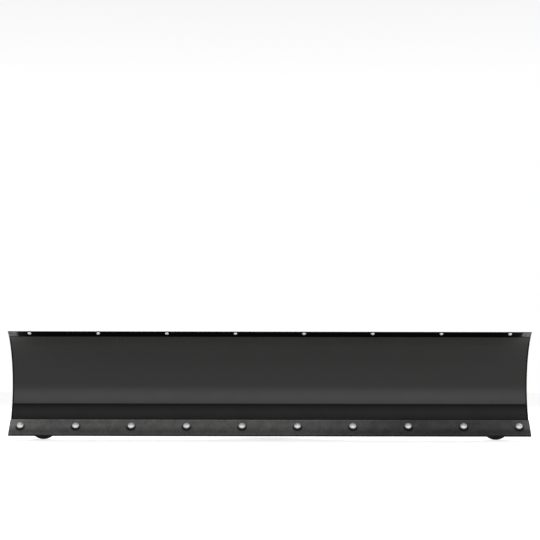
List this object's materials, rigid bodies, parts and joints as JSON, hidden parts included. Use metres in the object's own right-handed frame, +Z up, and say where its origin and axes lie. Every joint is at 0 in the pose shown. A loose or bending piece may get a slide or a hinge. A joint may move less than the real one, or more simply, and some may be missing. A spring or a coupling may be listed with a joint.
{
  "type": "atv plow blade",
  "caption": "Straight curved snow plow blade with a bolt-on wear bar, skid feet, and a sprung trip hinge on a swivel that bolts to a push frame.",
  "frame": {"origin": "middle of the push head's rear face, where the push frame bolts on", "axes": "+X along the blade to the driver's left, +Y backwards out of the push head's rear face, +Z up; the blade faces -Y"},
  "size_m": [1.829, 0.4, 0.3832],
  "materials": {
    "black_powder_coat": "gloss black powder coat",
    "worn_steel": "worn rolled steel with a trace of black paint",
    "zinc_plate": "bright zinc plate",
    "spring_steel": "oiled spring steel",
    "black_cast_iron": "painted cast iron",
    "bronze": "plain bronze"
  },
  "bodies": {
    "head": {"head_top_plate": "black_powder_coat", "head_bottom_plate": "black_powder_coat", "head_flange": "black_powder_coat", "king_bolt": "zinc_plate", "king_nut": "zinc_plate", "thrust_washer_upper": "bronze", "thrust_washer_lower": "bronze", "latch_housing": "black_powder_coat", "latch_spring": "spring_steel"},
    "latch": {"latch_pin": "zinc_plate"},
    "swivel": {"swivel_beam": "black_powder_coat", "cheek_left": "black_powder_coat", "cheek_right": "black_powder_coat", "sector_plate": "black_powder_coat", "trip_spring_left": "spring_steel", "trip_spring_right": "spring_steel"},
    "blade": {"moldboard": "black_powder_coat", "wear_bar": "worn_steel", "backing_bar": "black_powder_coat", "backing_rear_bar": "black_powder_coat", "wear_bolt_01": "zinc_plate", "wear_bolt_02": "zinc_plate", "wear_bolt_03": "zinc_plate", "wear_bolt_04": "zinc_plate", "wear_bolt_05": "zinc_plate", "wear_bolt_06": "zinc_plate", "wear_bolt_07": "zinc_plate", "wear_bolt_08": "zinc_plate", "wear_bolt_09": "zinc_plate", "wear_bolt_10": "zinc_plate", "lip_bolt_1": "zinc_plate", "lip_bolt_2": "zinc_plate", "lip_bolt_3": "zinc_plate", "lip_bolt_4": "zinc_plate", "lip_bolt_5": "zinc_plate", "lip_bolt_6": "zinc_plate", "lip_bolt_7": "zinc_plate", "lip_bolt_8": "zinc_plate", "end_rib_left": "black_powder_coat", "end_rib_right": "black_powder_coat", "mid_rib_left": "black_powder_coat", "mid_rib_right": "black_powder_coat", "trip_rib_inner_left": "black_powder_coat", "trip_rib_inner_right": "black_powder_coat", "trip_rib_outer_left": "black_powder_coat", "trip_rib_outer_right": "black_powder_coat", "trip_pin_left": "zinc_plate", "trip_pin_right": "zinc_plate", "spring_bolt_left": "zinc_plate", "spring_bolt_right": "zinc_plate", "skid_bracket_left": "black_powder_coat", "skid_bracket_right": "black_powder_coat", "skid_set_bolt_left": "zinc_plate", "skid_set_bolt_right": "zinc_plate"},
    "skid_left": {"skid_shoe_left": "black_cast_iron", "skid_post_left": "zinc_plate", "skid_keeper_left": "spring_steel"},
    "skid_right": {"skid_shoe_right": "black_cast_iron", "skid_post_right": "zinc_plate", "skid_keeper_right": "spring_steel"}
  },
  "joints": [
    {"name": "blade_angle", "type": "hinge", "parent": "head", "child": "swivel", "pos_m": [0, -0.15, 0], "axis": [0, 0, 1], "range_deg": [-25, 25]},
    {"name": "blade_trip", "type": "hinge", "parent": "swivel", "child": "blade", "pos_m": [0, -0.26, 0], "axis": [1, 0, 0], "range_deg": [0, 40], "stiffness_Nm_per_rad": 200, "springref_deg": -25.78, "deforming": ["trip_spring_left", "trip_spring_right"]},
    {"name": "skid_left_height", "type": "slide", "parent": "blade", "child": "skid_left", "axis": [0, 0, 1], "range_m": [-0.03, 0.04]},
    {"name": "skid_right_height", "type": "slide", "parent": "blade", "child": "skid_right", "axis": [0, 0, 1], "range_m": [-0.03, 0.04]},
    {"name": "latch_drop", "type": "slide", "parent": "head", "child": "latch", "axis": [0, 0, 1], "range_m": [-0.015, 0], "deforming": ["latch_spring"]}
  ]
}
